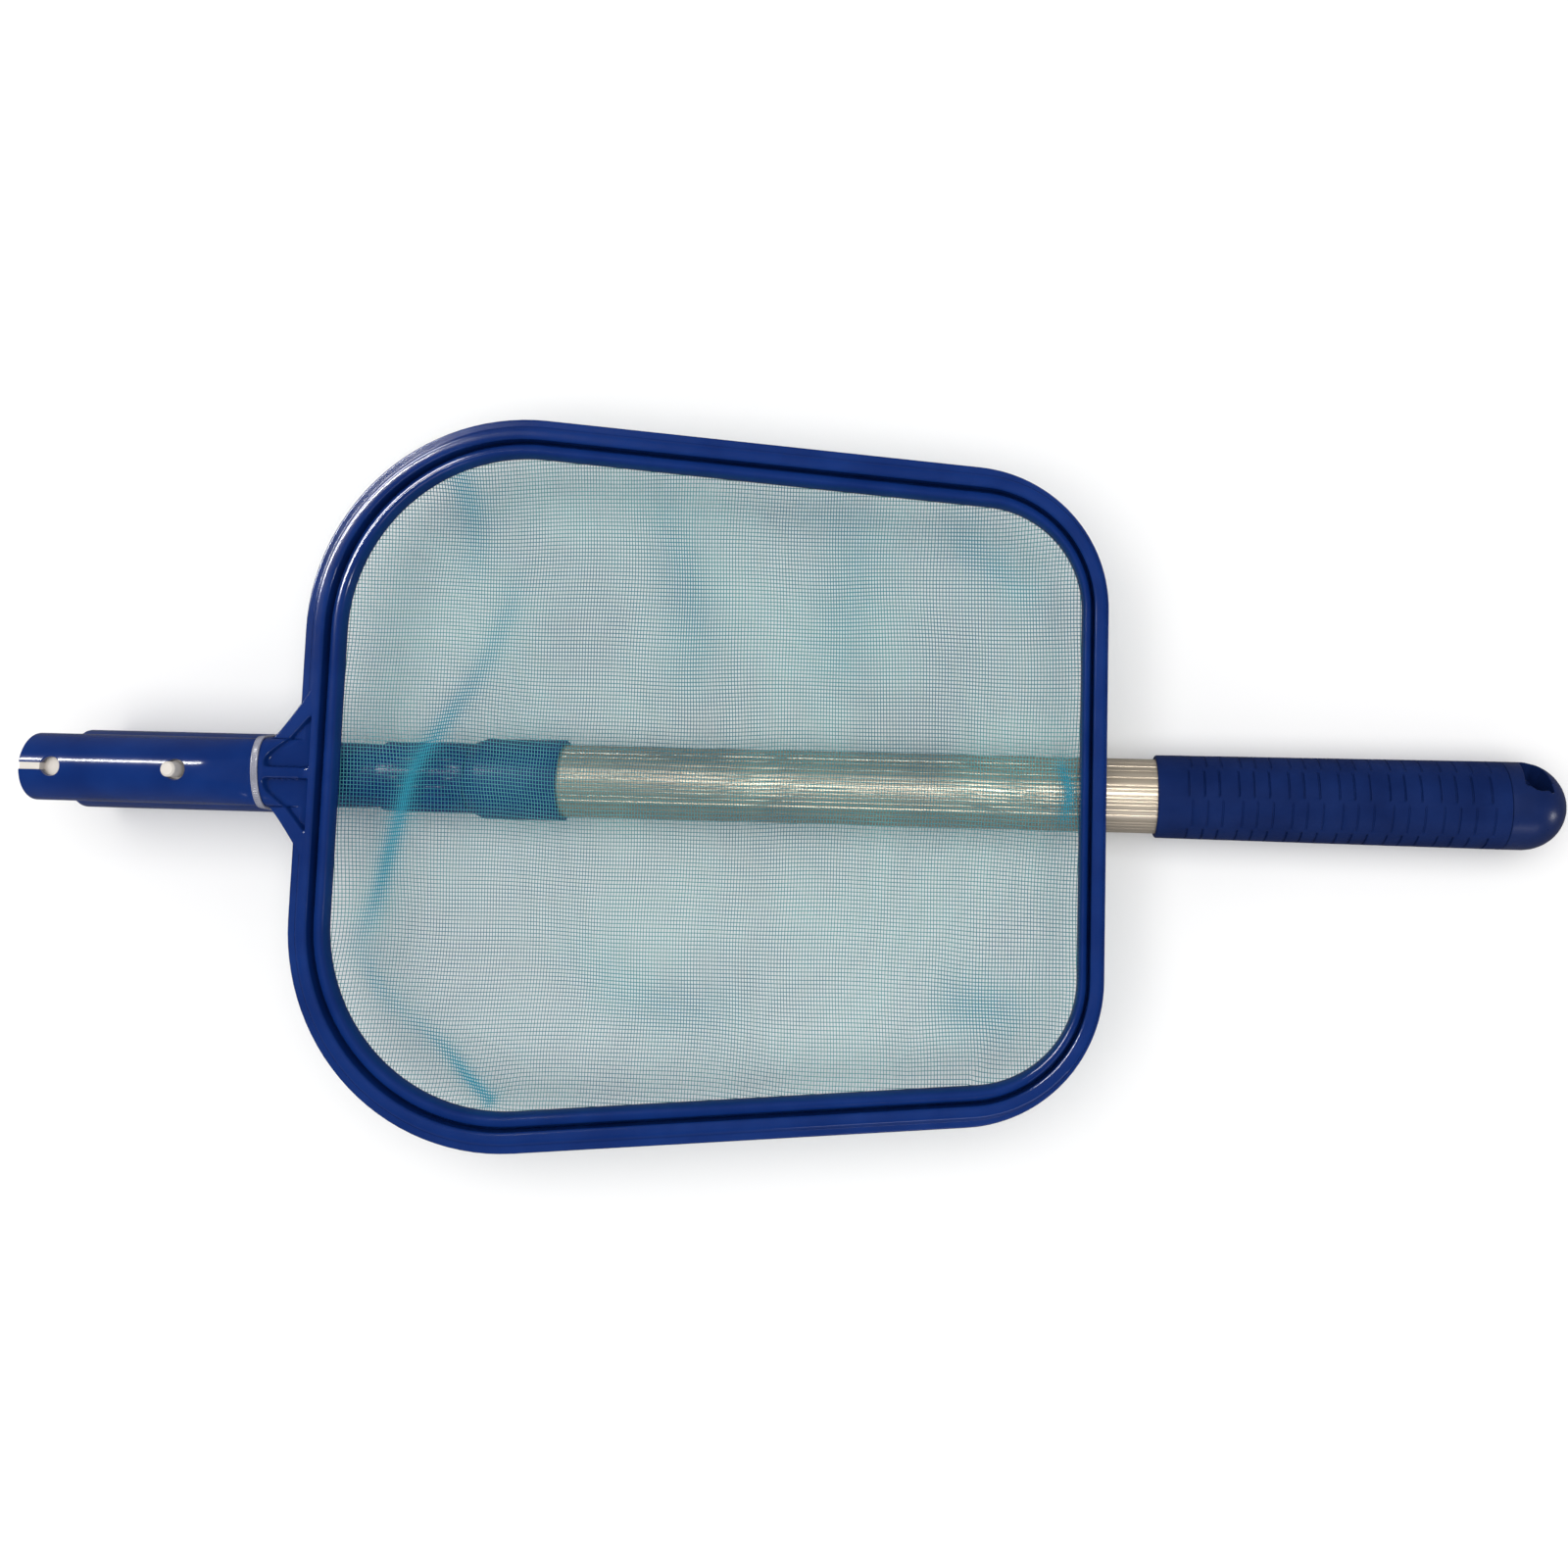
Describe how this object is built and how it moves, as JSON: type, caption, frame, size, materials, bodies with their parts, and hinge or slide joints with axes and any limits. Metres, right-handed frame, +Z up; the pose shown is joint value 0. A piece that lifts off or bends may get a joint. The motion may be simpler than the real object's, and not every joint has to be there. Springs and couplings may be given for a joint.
{
  "type": "leaf skimmer net",
  "caption": "Flat pool leaf skimmer with a moulded frame, snap clip handle and mesh, tied on its collapsed telescopic pole with a twist lock and ribbed grip.",
  "frame": {"origin": "on the floor under the middle of the whole part's box", "axes": "+X along the pole towards the grip's end, +Y across the frame, +Z up, from the pole to the head tied on top of it"},
  "size_m": [0.6512, 0.3114, 0.0706],
  "materials": {
    "blue_moulding": "glossy injection moulding",
    "net_mesh": "fine square polyester mesh",
    "clip_nylon": "off-white nylon",
    "tie_nylon": "natural nylon",
    "pole_aluminium": "drawn, finely fluted",
    "grip_vinyl": "soft matte vinyl",
    "dark_bush": "plain"
  },
  "bodies": {
    "head": {"skimmer_frame": "blue_moulding", "retaining_ring": "blue_moulding", "net": "net_mesh", "snap_clip": "clip_nylon", "cable_tie": "tie_nylon", "tie_head": "tie_nylon", "tip_fitting": "blue_moulding", "inner_tube": "pole_aluminium", "guide_bush": "dark_bush"},
    "grip_section": {"outer_tube": "pole_aluminium", "lock_collar": "blue_moulding", "grip": "grip_vinyl", "end_cap": "grip_vinyl"},
    "twist_lock": {"lock_nut": "blue_moulding", "lock_jaw": "clip_nylon"},
    "button": {"snap_button": "clip_nylon"}
  },
  "joints": [
    {"name": "pole_slide", "type": "slide", "parent": "head", "child": "grip_section", "axis": [1, 0, 0], "range_m": [0, 0.36]},
    {"name": "lock_turn", "type": "hinge", "parent": "grip_section", "child": "twist_lock", "pos_m": [-0.16, 0, 0.0184], "axis": [1, 0, 0], "range_deg": [0, 120]},
    {"name": "button_press", "type": "hinge", "parent": "head", "child": "button", "pos_m": [-0.3057, 0, 0.0604], "axis": [0, 1, 0], "range_deg": [0, 6.3], "stiffness_Nm_per_rad": 6}
  ]
}
